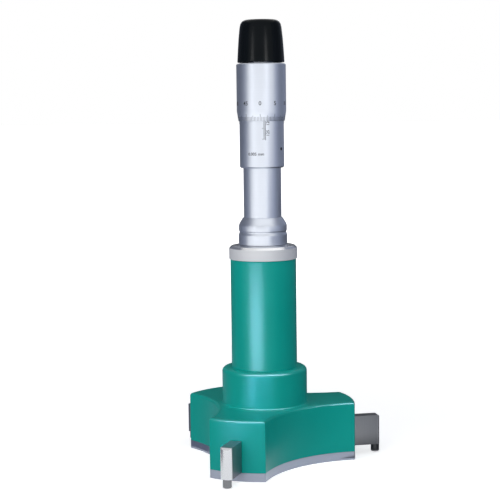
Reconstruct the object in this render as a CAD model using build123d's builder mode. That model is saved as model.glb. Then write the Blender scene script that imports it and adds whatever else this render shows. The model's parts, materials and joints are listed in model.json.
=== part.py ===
from build123d import *
from math import radians, sqrt, tan
import os

# Three-point internal micrometer for bores of 100 to 125 mm, standing on its measuring head.
# Millimetres. Z is the main axis, the underside of the head's cover is at Z = 0,
# and the front arm points along -Y. Every piece is drawn with the reading at rest.

# Measuring range and cone
smallest_bore = 100.0
measuring_range = 25.0
opening_at_rest = 16.5
cone_slope = 0.5
end_engagement = 1.1
face_length = 12.2
anvil_end_gap = 0.135
contact_gap = 0.02

# Fits
close_fit = 0.02
slide_fit = 0.05
cone_clearance = 0.3
stop_gap = 0.4

# Measuring head
arm_width = 27.6
arm_end_wall = 6.1
pin_to_arm = 1.7
roof_thickness = 1.6
hub_height = 17.6
hub_wall = 4.75
waist_ledge = 3.45
arm_edge_round = 1.4
arm_corner_round = 0.5
hub_edge_round = 2.0
hub_foot_round = 0.8

# Bottom cover and its screws
cover_thickness = 4.2
cover_web = 0.7
cover_pocket_gap = 0.2
cover_pocket_side = 0.4
screw_radius = 2.0
screw_head_rim = 1.8
screw_head_depth = 0.1
screw_length = 12.0
screw_hole_depth = 14.0
screw_hole_clearance = 0.2
screw_socket_width = 2.5
screw_socket_depth = 1.6
screw_side = 8.5
screw_from_end = 11.1

# Anvils, measuring pins and their springs
blade_thickness = 5.6
blade_height = 14.8
nose_radius = 4.0
nose_corner_round = 1.7
leg_wall = 3.88
leg_spigot_side = 0.6
leg_spigot_length = 2.5
pin_diameter = 4.2
pin_shoulder = 0.6
pin_shank_length = 6.75
pin_ground_clearance = 0.3
pin_chamfer = 0.3
anvil_spring_side = 0.25
anvil_spring_wire = 0.7
anvil_spring_turns = 4

# Cone rod, bush and return spring
cone_boss_radius = 7.0
cone_boss_height = 3.0
rod_radius = 4.0
rod_stud_step = 1.0
rod_stud_length = 12.0
bush_gap = 1.1
bush_length = 12.0
bush_flange = 2.0
bush_relief = 0.5
rod_cap_side = 1.05
rod_cap_thickness = 4.5
rod_cap_recess = 2.2
rod_cap_stop = 1.0
rod_cap_edge = 0.5
ball_radius = 2.5
ball_rise = 1.0
cone_spring_side = 0.9
cone_spring_wire = 1.2
cone_spring_turns = 4

# Grip tube and its collar
tube_ledge = 0.9
tube_wall = 3.0
tube_step = 0.4
tube_length = 58.2
tube_edge = 0.3
collar_overhang = 0.6
collar_rim = 5.2
collar_bevel = 1.2
collar_cone = 0.5
collar_seat_rim = 0.3
collar_spigot = 11.5
collar_boss_height = 7.6

# Barrel and clamp nut
barrel_radius = 9.15
barrel_sleeve_step = 0.25
barrel_flange_rim = 0.95
barrel_flange = 2.0
barrel_shoulder = 2.1
barrel_spigot_wall = 2.0
barrel_spigot_length = 16.0
barrel_guide = 6.0
thread_length = 16.8
split_thread_step = 0.4
split_thread_length = 7.8
split_count = 3
split_width = 0.6
nut_seat_gap = 0.1
nut_height = 13.0
nut_wall = 1.66
nut_foot = 4.7
nut_groove_depth = 0.45
nut_groove_rise = 6.4
nut_groove_width = 0.6
nut_body_step = 0.12
nut_shoulder = 4.0
nut_shoulder_bulge = 0.12
nut_lip = 0.35

# Scale sleeve and adjusting nut
neck_length = 24.0
sleeve_foot = 13.95
sleeve_cover = 0.65
sleeve_wall = 1.83
sleeve_edge = 0.6
sleeve_end_gap = 0.3
sleeve_thread_wall = 0.65
spanner_hole_radius = 0.8
spanner_hole_rise = 9.1
spanner_hole_angle = -12.5
adjusting_nut_gap = 0.2
adjusting_nut_below_end = 0.5
adjusting_slot_width = 1.6
adjusting_slot_depth = 1.4

# Spindle and thimble
spindle_radius = 3.5
spindle_thread_step = 0.5
spindle_chamfer = 0.5
thread_reserve = 0.5
taper_step = 0.7
taper_length = 5.1
stub_step = 0.3
stub_length = 6.0
thimble_wall = 1.05
thimble_bore_gap = 0.1
thimble_web = 1.5
thimble_boss_wall = 2.0
thimble_bevel_height = 4.8
thimble_bevel_depth = 0.8
thimble_top_edge = 0.5

# Ratchet in the cap
tooth_count = 24
tooth_height = 0.6
tooth_width = 1.2
tooth_length = 2.9
wheel_step = 1.1
wheel_thickness = 3.0
clutch_thickness = 2.4
clutch_side_gap = 0.2
clutch_bore_gap = 0.3
key_count = 3
key_width = 2.4
key_depth = 0.9
ratchet_spring_room = 4.0
ratchet_spring_side = 1.15
ratchet_spring_wire = 0.7
ratchet_spring_turns = 3
ratchet_screw_thread = 1.5
ratchet_screw_shoulder = 0.7
ratchet_screw_engagement = 8.0
ratchet_head_rim = 1.6
ratchet_head_height = 2.4
ratchet_socket_width = 2.5
ratchet_socket_depth = 1.3
cap_gap = 0.5
cap_setback = 0.55
cap_flare_inset = 0.35
cap_flare_height = 6.0
cap_waist_inset = 0.75
cap_waist_height = 11.5
cap_crown_inset = 1.25
cap_crown_height = 16.4
cap_top_inset = 3.75
cap_height = 20.2
cap_wall = 2.0
cap_web = 2.0
cap_recess_side = 1.2

arm_names = ("front", "right", "left")
front_arm_angle = -90
angle_between_arms = 360 / len(arm_names)
arm_angles = {name: front_arm_angle + angle_between_arms * number for number, name in enumerate(arm_names)}

# Travel of the cone, from rest down to the largest bore and up to the smallest
travel_up = opening_at_rest / 2 / cone_slope
travel_down = (measuring_range - opening_at_rest) / 2 / cone_slope
cone_travel = travel_up + travel_down

# Heights in the head, from the lowest place of the cone
cone_lowest = cover_web + cover_pocket_gap
leg_top = cone_lowest + cone_travel + end_engagement
face_bottom = leg_top - face_length
arm_top = leg_top + roof_thickness
hub_top = arm_top + hub_height
cone_bottom = cone_lowest + travel_down
cone_top = face_bottom + end_engagement + travel_down
cone_boss_top = cone_top + cone_boss_height
tube_bottom = cone_top + travel_up + stop_gap
tube_top = tube_bottom + tube_length

# Radii in the head
face_smallest = blade_thickness / 2 / tan(radians(angle_between_arms / 2)) + anvil_end_gap
cone_small_radius = face_smallest + (face_length - end_engagement) * cone_slope
cone_large_radius = cone_small_radius + (cone_top - cone_bottom) * cone_slope
head_bore = cone_large_radius + cone_clearance
tube_radius = head_bore + tube_ledge
tube_bore = tube_radius - tube_wall
hub_radius = tube_radius + hub_wall
waist_radius = hub_radius + waist_ledge
contact_radius = (smallest_bore + opening_at_rest) / 2
arm_radius = smallest_bore / 2 - pin_diameter - pin_to_arm
arm_corner = sqrt(arm_radius**2 - (arm_width / 2) ** 2)
pin_place = contact_radius - pin_diameter / 2
pin_shank_radius = pin_diameter / 2 - pin_shoulder
screw_head_radius = screw_radius + screw_head_rim

# Anvils and spring pockets
face_place = face_smallest + travel_up * cone_slope + contact_gap
leg_face_top = face_place + face_length * cone_slope
leg_back = leg_face_top + leg_wall
spring_seat = arm_radius - arm_end_wall
blade_bottom = cover_thickness + slide_fit
blade_top = blade_bottom + blade_height
slot_width = blade_thickness + 2 * slide_fit
slot_top = blade_top + slide_fit
pocket_top = leg_top + 2 * slide_fit
anvil_spring_height = (slot_top + leg_top) / 2
anvil_spring_radius = (slot_width - anvil_spring_wire) / 2 - anvil_spring_side
leg_spigot_radius = anvil_spring_radius - anvil_spring_wire / 2 - leg_spigot_side

# Radii round the screw, from the spindle out to the thimble
spindle_thread_radius = spindle_radius + spindle_thread_step
taper_end_radius = spindle_thread_radius - taper_step
stub_radius = taper_end_radius - stub_step
barrel_flange_radius = barrel_radius + barrel_flange_rim
barrel_spigot_radius = barrel_flange_radius - barrel_shoulder
barrel_relief_radius = barrel_spigot_radius - barrel_spigot_wall
sleeve_seat = barrel_radius - barrel_sleeve_step
split_thread_radius = sleeve_seat - split_thread_step
sleeve_radius = sleeve_seat + close_fit + sleeve_wall
sleeve_thread_radius = sleeve_radius - sleeve_thread_wall
adjusting_nut_radius = sleeve_thread_radius - adjusting_nut_gap
thimble_bore = sleeve_radius + thimble_bore_gap
thimble_radius = thimble_bore + thimble_wall
thimble_boss_radius = spindle_thread_radius + thimble_boss_wall

# Radii of the collar, the clamp nut and the parts on the rod
collar_radius = tube_radius + collar_overhang
collar_bore = barrel_spigot_radius + slide_fit
nut_bore = barrel_flange_radius + 2 * close_fit
nut_mouth = barrel_radius + slide_fit
nut_foot_radius = nut_bore + nut_wall
nut_groove_radius = nut_foot_radius - nut_groove_depth
nut_body_radius = nut_foot_radius - nut_body_step
collar_seat_radius = nut_foot_radius + collar_seat_rim
rod_cap_radius = collar_bore - rod_cap_side
cone_spring_radius = rod_radius + cone_spring_side + cone_spring_wire / 2
rod_stud_radius = rod_radius - rod_stud_step

# Radii in the ratchet cap
cap_base_radius = thimble_radius - cap_setback
cap_flare_radius = cap_base_radius - cap_flare_inset
cap_waist_radius = cap_base_radius - cap_waist_inset
cap_crown_radius = cap_base_radius - cap_crown_inset
cap_top_radius = cap_base_radius - cap_top_inset
cap_cavity_radius = cap_waist_radius - cap_wall
clutch_radius = cap_cavity_radius - clutch_side_gap
key_radius = clutch_radius + key_depth
wheel_radius = clutch_radius - wheel_step
tooth_inner_radius = wheel_radius - tooth_length
screw_shoulder_radius = ratchet_screw_thread + ratchet_screw_shoulder
ratchet_head_radius = screw_shoulder_radius + ratchet_head_rim
cap_recess_radius = ratchet_head_radius + cap_recess_side
ratchet_spring_radius = screw_shoulder_radius + ratchet_spring_side + ratchet_spring_wire / 2

# Rod and bush, up to the ball
bush_bottom = cone_boss_top + travel_up + bush_gap
bush_top = bush_bottom + bush_length
collar_shoulder = tube_top + collar_rim
collar_top = collar_shoulder + collar_bevel + collar_cone
boss_top = collar_top + collar_boss_height
barrel_bottom = boss_top - barrel_spigot_length
rod_cap_top = barrel_bottom - rod_cap_stop - travel_up
rod_cap_bottom = rod_cap_top - rod_cap_thickness
ball_height = rod_cap_top + ball_rise
spindle_bottom = ball_height + ball_radius + contact_gap

# Barrel, sleeve and thimble
flange_top = boss_top + barrel_flange
nut_bottom = collar_top + nut_seat_gap
nut_top = nut_bottom + nut_height
sleeve_bottom = nut_top + neck_length
sleeve_top = sleeve_bottom + sleeve_foot + cone_travel + sleeve_cover
barrel_top = sleeve_top - sleeve_end_gap
web_bottom = sleeve_top + sleeve_end_gap + travel_down
thimble_bottom = sleeve_bottom + sleeve_foot + travel_down
thimble_top = web_bottom + thimble_web
thread_bottom = barrel_top - thread_length
spindle_thread_bottom = thread_bottom - travel_up - thread_reserve
taper_top = web_bottom + taper_length
split_bottom = barrel_top - split_thread_length

# Ratchet, from the thimble's boss up to the screw's head
wheel_face = taper_top + wheel_thickness
clutch_bottom = wheel_face + contact_gap
clutch_top = clutch_bottom + tooth_height + clutch_thickness
stub_top = taper_top + stub_length
cap_bottom = thimble_top + cap_gap
cap_web_bottom = clutch_top + ratchet_spring_room
cap_web_top = cap_web_bottom + cap_web
cap_top = cap_bottom + cap_height

os.makedirs("parts", exist_ok=True)


def arm_point(angle, along, across):
    """A point of the plan, measured along and across the arm that points at the angle."""
    return Vector(along, across).rotate(Axis.Z, angle)


def arm_plane(angle):
    """The upright plane through the main axis, with x along the arm at the angle."""
    return Plane(origin=(0, 0, 0), x_dir=arm_point(angle, 1, 0), z_dir=arm_point(angle, 0, -1))


def turn(*outline, mode=Mode.ADD):
    """Revolve a closed outline of (radius, height) points about the main axis."""
    with BuildSketch(Plane.XZ) as section:
        with BuildLine():
            Polyline(*outline, close=True)
        make_face()
    revolve(section.sketch, axis=Axis.Z, mode=mode)


def ring(outer, inner, bottom, top, mode=Mode.ADD):
    """Turn a plain ring."""
    turn((inner, bottom), (outer, bottom), (outer, top), (inner, top), mode=mode)


def coil(start, way, radius, wire, turns, length):
    """Wind a spring of square wire from the start point, the given way."""
    first = start + way * (wire / 2)
    with BuildLine() as path:
        Helix(
            pitch=(length - wire) / turns,
            height=length - wire,
            radius=radius,
            center=first,
            direction=way,
        )
    with BuildSketch(Plane(path.line @ 0, x_dir=path.line @ 0 - first, z_dir=path.line % 0)) as section:
        Rectangle(wire, wire)
    sweep(section.sketch, path=path.line, is_frenet=True)


def face_teeth(height, mode):
    """Radial V ridges, or grooves to match, on a face at the height."""
    planes = [
        Plane(
            origin=Vector(tooth_inner_radius, 0, height).rotate(Axis.Z, angle),
            x_dir=Vector(0, 1, 0).rotate(Axis.Z, angle),
            z_dir=Vector(1, 0, 0).rotate(Axis.Z, angle),
        )
        for angle in [360 / tooth_count * tooth for tooth in range(tooth_count)]
    ]
    with BuildSketch(*planes) as ridge:
        with BuildLine():
            Polyline((-tooth_width / 2, 0), (tooth_width / 2, 0), (0, tooth_height), close=True)
        make_face()
    extrude(ridge.sketch, amount=wheel_radius - tooth_inner_radius, mode=mode)


# Plan of the head: three arms with rounded ends and hollow flanks between them
with BuildSketch() as head_plan:
    with BuildLine():
        for angle in arm_angles.values():
            next_angle = angle + angle_between_arms
            near_corner = arm_point(angle, arm_corner, -arm_width / 2)
            far_corner = arm_point(angle, arm_corner, arm_width / 2)
            next_corner = arm_point(next_angle, arm_corner, -arm_width / 2)
            flank_middle = arm_point((angle + next_angle) / 2, waist_radius, 0)
            ThreePointArc(near_corner, arm_point(angle, arm_radius, 0), far_corner)
            ThreePointArc(far_corner, flank_middle, next_corner)
    make_face()

screw_points = [
    arm_point(angle, arm_radius - screw_from_end, side * screw_side)
    for angle in arm_angles.values()
    for side in (-1, 1)
]

# Head body: painted casting with the cone's bore and a slot for each anvil
with BuildPart() as head_body:
    with BuildSketch(Plane.XY.offset(cover_thickness)):
        add(head_plan.sketch)
    extrude(amount=arm_top - cover_thickness)
    fillet(head_body.edges().filter_by(Axis.Z), arm_corner_round)
    fillet(head_body.faces().sort_by(Axis.Z)[-1].edges(), arm_edge_round)
    with BuildSketch(Plane.XY.offset(arm_top)):
        Circle(hub_radius)
    extrude(amount=hub_height)
    fillet(head_body.faces().sort_by(Axis.Z)[-1].edges(), hub_edge_round)
    hub_foot = head_body.faces().filter_by(GeomType.CYLINDER).sort_by(Axis.Z)[-1].edges().sort_by(Axis.Z)[0]
    fillet(hub_foot, hub_foot_round)
    ring(head_bore, 0, cover_thickness, tube_bottom, mode=Mode.SUBTRACT)
    ring(tube_radius - tube_step + close_fit, 0, tube_bottom, hub_top, mode=Mode.SUBTRACT)
    for angle in arm_angles.values():
        with BuildSketch(arm_plane(angle)):
            with BuildLine():
                Polyline(
                    (0, cover_thickness),
                    (arm_radius + pin_to_arm, cover_thickness),
                    (arm_radius + pin_to_arm, slot_top),
                    (spring_seat, slot_top),
                    (spring_seat, pocket_top),
                    (0, pocket_top),
                    close=True,
                )
            make_face()
        extrude(amount=slot_width / 2, both=True, mode=Mode.SUBTRACT)
    with BuildSketch(Plane.XY.offset(cover_thickness)):
        with Locations(*screw_points):
            Circle(screw_radius + close_fit)
    extrude(amount=screw_hole_depth - cover_thickness, mode=Mode.SUBTRACT)
head_body.part.label = "head_body"
export_step(head_body.part, "parts/head_body.step")

# Bottom cover: ground steel plate with a pocket that clears the lowered cone
pocket_bottom = cone_lowest - cover_pocket_gap
pocket_radius = cone_small_radius + cover_pocket_side
pocket_mouth = pocket_radius + (cover_thickness - pocket_bottom) * cone_slope
with BuildPart() as bottom_cover:
    with BuildSketch():
        add(head_plan.sketch)
    extrude(amount=cover_thickness)
    fillet(bottom_cover.edges().filter_by(Axis.Z), arm_corner_round)
    turn(
        (0, pocket_bottom),
        (pocket_radius, pocket_bottom),
        (pocket_mouth, cover_thickness),
        (0, cover_thickness),
        mode=Mode.SUBTRACT,
    )
    with Locations(*[Location(point, (180, 0, 0)) for point in screw_points]):
        CounterSinkHole(
            radius=screw_radius + screw_hole_clearance,
            counter_sink_radius=screw_head_radius + screw_hole_clearance,
            depth=cover_thickness,
            counter_sink_angle=90,
        )
bottom_cover.part.label = "bottom_cover"
export_step(bottom_cover.part, "parts/bottom_cover.step")

# Cover screws: countersunk, with hexagon sockets, two in each arm
with BuildPart() as cover_screws:
    with BuildSketch(Plane.XY.offset(screw_head_depth)):
        with Locations(*screw_points):
            Circle(screw_radius)
    extrude(amount=screw_length - screw_head_depth)
    with Locations(*[point + Vector(0, 0, screw_head_depth) for point in screw_points]):
        Cone(
            screw_head_radius,
            screw_radius,
            screw_head_radius - screw_radius,
            align=(Align.CENTER, Align.CENTER, Align.MIN),
        )
    with BuildSketch(Plane.XY.offset(screw_head_depth)):
        with Locations(*screw_points):
            RegularPolygon(screw_socket_width / 2, 6, major_radius=False)
    extrude(amount=screw_socket_depth, mode=Mode.SUBTRACT)
cover_screws.part.label = "cover_screws"
export_step(cover_screws.part, "parts/cover_screws.step")

# Anvils: ground blades with a sloped inner face, and a leg that their spring pushes on
nose_sagitta = nose_radius - sqrt(nose_radius**2 - (blade_thickness / 2) ** 2)
for name, angle in arm_angles.items():
    with BuildPart() as anvil:
        with BuildSketch(arm_plane(angle)) as side_view:
            with BuildLine():
                Polyline(
                    (face_place, blade_bottom),
                    (contact_radius, blade_bottom),
                    (contact_radius, blade_top),
                    (leg_back, blade_top),
                    (leg_back, leg_top),
                    (leg_face_top, leg_top),
                    (face_place, face_bottom),
                    close=True,
                )
            make_face()
            fillet(side_view.vertices().sort_by(Axis.X)[-2:].sort_by(Axis.Y)[-1], nose_corner_round)
        extrude(amount=blade_thickness / 2, both=True)
        with BuildSketch(Plane.XY.rotated((0, 0, angle))):
            with BuildLine():
                Polyline(
                    (contact_radius - nose_sagitta, blade_thickness / 2),
                    (0, blade_thickness / 2),
                    (0, -blade_thickness / 2),
                    (contact_radius - nose_sagitta, -blade_thickness / 2),
                )
                ThreePointArc(
                    (contact_radius - nose_sagitta, -blade_thickness / 2),
                    (contact_radius, 0),
                    (contact_radius - nose_sagitta, blade_thickness / 2),
                )
            make_face()
        extrude(amount=leg_top, mode=Mode.INTERSECT)
        spigot_base = arm_point(angle, leg_back, 0) + Vector(0, 0, anvil_spring_height)
        with BuildSketch(Plane(origin=spigot_base, z_dir=arm_point(angle, 1, 0))):
            Circle(leg_spigot_radius)
        extrude(amount=leg_spigot_length)
        with BuildSketch(Plane.XY.offset(blade_bottom)):
            with Locations(arm_point(angle, pin_place, 0)):
                Circle(pin_shank_radius + close_fit)
        extrude(amount=pin_shank_length + slide_fit, mode=Mode.SUBTRACT)
    anvil.part.label = f"anvil_{name}"
    export_step(anvil.part, f"parts/anvil_{name}.step")

# Measuring pins: hard pins set in the blades, that reach down to the floor of a blind bore
for name, angle in arm_angles.items():
    with BuildPart() as measuring_pin:
        with BuildSketch(Plane.XY.offset(pin_ground_clearance)):
            with Locations(arm_point(angle, pin_place, 0)):
                Circle(pin_diameter / 2)
        extrude(amount=blade_bottom - pin_ground_clearance)
        chamfer(measuring_pin.edges().sort_by(Axis.Z)[0], pin_chamfer)
        with BuildSketch(Plane.XY.offset(blade_bottom)):
            with Locations(arm_point(angle, pin_place, 0)):
                Circle(pin_shank_radius)
        extrude(amount=pin_shank_length)
    measuring_pin.part.label = f"measuring_pin_{name}"
    export_step(measuring_pin.part, f"parts/measuring_pin_{name}.step")

# Anvil springs: each holds its anvil against the cone
for name, angle in arm_angles.items():
    with BuildPart() as anvil_spring:
        spring_base = arm_point(angle, leg_back + contact_gap, 0) + Vector(0, 0, anvil_spring_height)
        coil(
            spring_base,
            arm_point(angle, 1, 0),
            anvil_spring_radius,
            anvil_spring_wire,
            anvil_spring_turns,
            spring_seat - leg_back - 2 * contact_gap,
        )
    anvil_spring.part.label = f"anvil_spring_{name}"
    export_step(anvil_spring.part, f"parts/anvil_spring_{name}.step")

# Measuring cone: its slope turns the screw's travel into the anvils' travel
with BuildPart() as measuring_cone:
    turn(
        (0, cone_bottom),
        (cone_small_radius, cone_bottom),
        (cone_large_radius, cone_top),
        (cone_boss_radius, cone_top),
        (cone_boss_radius, cone_boss_top),
        (0, cone_boss_top),
    )
    ring(rod_stud_radius + close_fit, 0, cone_boss_top - rod_stud_length, cone_boss_top, mode=Mode.SUBTRACT)
measuring_cone.part.label = "measuring_cone"
export_step(measuring_cone.part, "parts/measuring_cone.step")

# Cone rod: screwed into the cone, and carried up through the bush
with BuildPart() as cone_rod:
    turn(
        (0, cone_boss_top - rod_stud_length),
        (rod_stud_radius, cone_boss_top - rod_stud_length),
        (rod_stud_radius, cone_boss_top),
        (rod_radius, cone_boss_top),
        (rod_radius, rod_cap_bottom + rod_cap_recess),
        (0, rod_cap_bottom + rod_cap_recess),
    )
cone_rod.part.label = "cone_rod"
export_step(cone_rod.part, "parts/cone_rod.step")

# Guide bush: bronze, pressed into the tube, relieved between its two lands
with BuildPart() as guide_bush:
    turn(
        (rod_radius + slide_fit, bush_bottom),
        (tube_bore - close_fit, bush_bottom),
        (tube_bore - close_fit, bush_bottom + bush_flange),
        (tube_bore - bush_relief, bush_bottom + bush_flange),
        (tube_bore - bush_relief, bush_top - bush_flange),
        (tube_bore - close_fit, bush_top - bush_flange),
        (tube_bore - close_fit, bush_top),
        (rod_radius + slide_fit, bush_top),
    )
guide_bush.part.label = "guide_bush"
export_step(guide_bush.part, "parts/guide_bush.step")

# Rod cap: takes the return spring, and holds the contact ball in its top
with BuildPart() as rod_cap:
    ring(rod_cap_radius, 0, rod_cap_bottom, rod_cap_top)
    chamfer(rod_cap.edges().group_by(Axis.Z)[-1], rod_cap_edge)
    ring(rod_radius + close_fit, 0, rod_cap_bottom, rod_cap_bottom + rod_cap_recess, mode=Mode.SUBTRACT)
    with Locations((0, 0, ball_height)):
        Sphere(ball_radius + close_fit, mode=Mode.SUBTRACT)
rod_cap.part.label = "rod_cap"
export_step(rod_cap.part, "parts/rod_cap.step")

# Contact ball: hardened, between the rod cap and the spindle
with BuildPart() as contact_ball:
    with Locations((0, 0, ball_height)):
        Sphere(ball_radius)
contact_ball.part.label = "contact_ball"
export_step(contact_ball.part, "parts/contact_ball.step")

# Cone return spring: stands on the bush, and lifts the rod cap
with BuildPart() as cone_spring:
    coil(
        Vector(0, 0, bush_top + contact_gap),
        Vector(0, 0, 1),
        cone_spring_radius,
        cone_spring_wire,
        cone_spring_turns,
        rod_cap_bottom - bush_top - 2 * contact_gap,
    )
cone_spring.part.label = "cone_spring"
export_step(cone_spring.part, "parts/cone_spring.step")

# Grip tube: painted, with a step that sits on the hub
with BuildPart() as grip_tube:
    ring(tube_radius - tube_step, tube_bore, tube_bottom, hub_top)
    ring(tube_radius, tube_bore, hub_top, tube_top)
    chamfer(grip_tube.faces().sort_by(Axis.Z)[-1].edges(), tube_edge)
grip_tube.part.label = "grip_tube"
export_step(grip_tube.part, "parts/grip_tube.step")

# Tube collar: closes the tube, and carries the barrel in its threaded boss
with BuildPart() as tube_collar:
    turn(
        (collar_bore, tube_top - collar_spigot),
        (tube_bore - slide_fit, tube_top - collar_spigot),
        (tube_bore - slide_fit, tube_top),
        (collar_radius, tube_top),
        (collar_radius, collar_shoulder),
        (collar_radius - collar_bevel, collar_shoulder + collar_bevel),
        (collar_seat_radius, collar_top),
        (barrel_flange_radius + close_fit, collar_top),
        (barrel_flange_radius + close_fit, boss_top),
        (collar_bore, boss_top),
    )
tube_collar.part.label = "tube_collar"
export_step(tube_collar.part, "parts/tube_collar.step")

# Barrel: its flange sits on the collar's boss, its neck shows between the clamp nut and
# the sleeve, and the screw thread is cut in its top, which is slit so that the nut can close it
with BuildPart() as barrel:
    turn(
        (spindle_radius + slide_fit, barrel_bottom),
        (barrel_spigot_radius, barrel_bottom),
        (barrel_spigot_radius, boss_top),
        (barrel_flange_radius, boss_top),
        (barrel_flange_radius, flange_top),
        (barrel_radius, flange_top),
        (barrel_radius, sleeve_bottom - contact_gap),
        (sleeve_seat, sleeve_bottom - contact_gap),
        (sleeve_seat, split_bottom),
        (split_thread_radius, split_bottom),
        (split_thread_radius, barrel_top),
        (spindle_thread_radius + slide_fit, barrel_top),
        (spindle_thread_radius + slide_fit, thread_bottom),
        (barrel_relief_radius, thread_bottom),
        (barrel_relief_radius, barrel_bottom + barrel_guide),
        (spindle_radius + slide_fit, barrel_bottom + barrel_guide),
    )
    with BuildSketch(Plane.XY.offset(split_bottom)):
        with PolarLocations(split_thread_radius, split_count):
            Rectangle(2 * split_thread_radius, split_width)
    extrude(amount=split_thread_length, mode=Mode.SUBTRACT)
barrel.part.label = "barrel"
export_step(barrel.part, "parts/barrel.step")

# Clamp nut: screwed on the collar's boss, with a rounded shoulder that closes on the barrel
with BuildPart() as clamp_nut:
    with BuildSketch(Plane.XZ):
        with BuildLine():
            Polyline(
                (nut_mouth + nut_lip, nut_top),
                (nut_mouth, nut_top),
                (nut_mouth, flange_top + contact_gap),
                (nut_bore, flange_top + contact_gap),
                (nut_bore, nut_bottom),
                (nut_foot_radius, nut_bottom),
                (nut_foot_radius, nut_bottom + nut_foot),
                (nut_groove_radius, nut_bottom + nut_groove_rise - nut_groove_width),
                (nut_groove_radius, nut_bottom + nut_groove_rise),
                (nut_body_radius, nut_bottom + nut_groove_rise + nut_groove_width / 2),
                (nut_body_radius, nut_top - nut_shoulder),
            )
            SagittaArc(
                (nut_body_radius, nut_top - nut_shoulder),
                (nut_mouth + nut_lip, nut_top),
                nut_shoulder_bulge,
            )
        make_face()
    revolve(axis=Axis.Z)
clamp_nut.part.label = "clamp_nut"
export_step(clamp_nut.part, "parts/clamp_nut.step")

# Scale sleeve: turns on the barrel to set zero, and is widened at the top for the adjusting nut
with BuildPart() as scale_sleeve:
    turn(
        (sleeve_seat + close_fit, sleeve_bottom),
        (sleeve_radius - sleeve_edge, sleeve_bottom),
        (sleeve_radius, sleeve_bottom + sleeve_edge),
        (sleeve_radius, sleeve_top),
        (sleeve_thread_radius, sleeve_top),
        (sleeve_thread_radius, split_bottom),
        (sleeve_seat + close_fit, split_bottom),
    )
    hole_start = Vector(sleeve_seat, 0, sleeve_bottom + spanner_hole_rise).rotate(Axis.Z, spanner_hole_angle)
    hole_way = Vector(1, 0, 0).rotate(Axis.Z, spanner_hole_angle)
    with BuildSketch(Plane(origin=hole_start, z_dir=hole_way)):
        Circle(spanner_hole_radius)
    extrude(amount=sleeve_radius, mode=Mode.SUBTRACT)
scale_sleeve.part.label = "scale_sleeve"
export_step(scale_sleeve.part, "parts/scale_sleeve.step")

# Adjusting nut: takes up play in the screw, from the barrel's end
with BuildPart() as adjusting_nut:
    ring(
        adjusting_nut_radius,
        split_thread_radius + close_fit,
        split_bottom + contact_gap,
        barrel_top - adjusting_nut_below_end,
    )
    with BuildSketch(Plane.XY.offset(barrel_top - adjusting_nut_below_end)):
        Rectangle(2 * adjusting_nut_radius, adjusting_slot_width)
        Circle(split_thread_radius, mode=Mode.SUBTRACT)
    extrude(amount=-adjusting_slot_depth, mode=Mode.SUBTRACT)
adjusting_nut.part.label = "adjusting_nut"
export_step(adjusting_nut.part, "parts/adjusting_nut.step")

# Spindle: plain below, threaded above, with a taper for the thimble and a stub for the ratchet
with BuildPart() as spindle:
    turn(
        (0, spindle_bottom),
        (spindle_radius - spindle_chamfer, spindle_bottom),
        (spindle_radius, spindle_bottom + spindle_chamfer),
        (spindle_radius, spindle_thread_bottom),
        (spindle_thread_radius, spindle_thread_bottom),
        (spindle_thread_radius, web_bottom),
        (taper_end_radius, taper_top),
        (stub_radius, taper_top),
        (stub_radius, stub_top),
        (0, stub_top),
    )
    ring(
        ratchet_screw_thread + close_fit,
        0,
        stub_top - ratchet_screw_engagement - slide_fit,
        stub_top,
        mode=Mode.SUBTRACT,
    )
spindle.part.label = "spindle"
export_step(spindle.part, "parts/spindle.step")

# Thimble: thin sleeve with a bevelled edge, held on the spindle's taper by its boss
with BuildPart() as thimble:
    turn(
        (thimble_bore, thimble_bottom),
        (thimble_radius - thimble_bevel_depth, thimble_bottom),
        (thimble_radius, thimble_bottom + thimble_bevel_height),
        (thimble_radius, thimble_top - thimble_top_edge),
        (thimble_radius - thimble_top_edge, thimble_top),
        (thimble_boss_radius, thimble_top),
        (thimble_boss_radius, taper_top - contact_gap),
        (taper_end_radius + close_fit, taper_top - contact_gap),
        (spindle_thread_radius + close_fit, web_bottom),
        (thimble_bore, web_bottom),
    )
thimble.part.label = "thimble"
export_step(thimble.part, "parts/thimble.step")

# Ratchet wheel: screwed on the stub against the thimble's boss, with teeth on its upper face
with BuildPart() as ratchet_wheel:
    ring(wheel_radius, stub_radius + close_fit, taper_top + contact_gap, wheel_face)
    face_teeth(wheel_face, Mode.ADD)
ratchet_wheel.part.label = "ratchet_wheel"
export_step(ratchet_wheel.part, "parts/ratchet_wheel.step")

# Ratchet clutch: keyed in the cap, with grooves that drop over the wheel's teeth
with BuildPart() as ratchet_clutch:
    ring(clutch_radius, stub_radius + clutch_bore_gap, clutch_bottom, clutch_top)
    with BuildSketch(Plane.XY.offset(clutch_bottom + tooth_height)):
        with PolarLocations((clutch_radius + key_radius) / 2, key_count):
            Rectangle(key_radius - clutch_radius + stub_radius / 2, key_width)
    extrude(amount=clutch_thickness)
    with BuildSketch(Plane.XY.offset(clutch_bottom)):
        Circle(key_radius)
    extrude(amount=clutch_top - clutch_bottom, mode=Mode.INTERSECT)
    face_teeth(clutch_bottom, Mode.SUBTRACT)
ratchet_clutch.part.label = "ratchet_clutch"
export_step(ratchet_clutch.part, "parts/ratchet_clutch.step")

# Ratchet spring: presses the clutch on the wheel
with BuildPart() as ratchet_spring:
    coil(
        Vector(0, 0, clutch_top + contact_gap),
        Vector(0, 0, 1),
        ratchet_spring_radius,
        ratchet_spring_wire,
        ratchet_spring_turns,
        ratchet_spring_room - 2 * contact_gap,
    )
ratchet_spring.part.label = "ratchet_spring"
export_step(ratchet_spring.part, "parts/ratchet_spring.step")

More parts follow.
